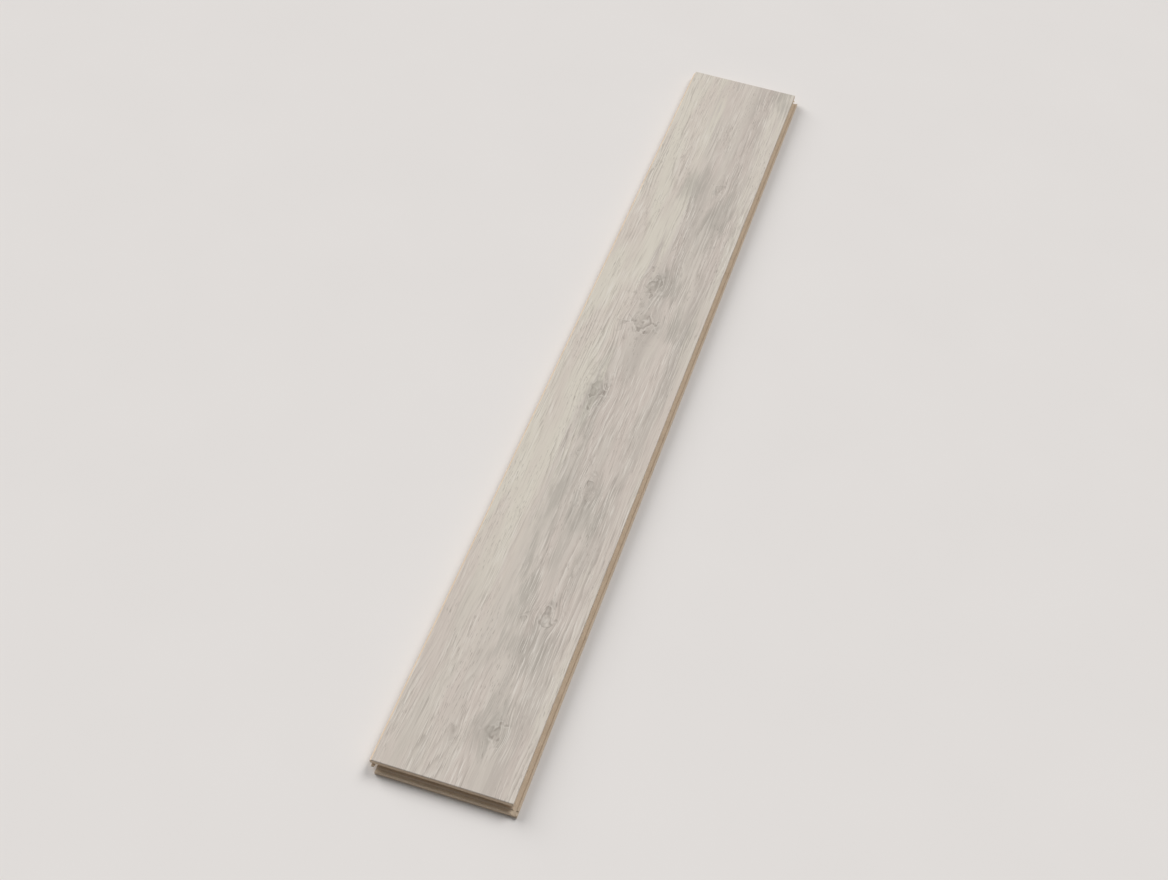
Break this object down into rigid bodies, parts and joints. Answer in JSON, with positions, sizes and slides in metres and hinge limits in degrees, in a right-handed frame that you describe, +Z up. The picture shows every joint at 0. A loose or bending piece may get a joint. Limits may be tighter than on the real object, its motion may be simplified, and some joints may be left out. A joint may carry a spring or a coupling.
{
  "type": "tongue-and-groove flooring plank",
  "caption": "Wood-look flooring plank with a fibreboard core and a locking tongue-and-groove profile along its edges, laid flat and joined to its neighbours.",
  "frame": {"origin": "on the underside, below the middle of the printed face", "axes": "+X across the plank towards the long groove, +Y along the plank towards the end tongue, +Z up out of the printed face"},
  "size_m": [0.1513, 1.2233, 0.0123],
  "materials": {
    "plank": "matt embossed pale greige wood print on a brown fibreboard core"
  },
  "bodies": {
    "root": {"plank": "plank"}
  },
  "joints": []
}
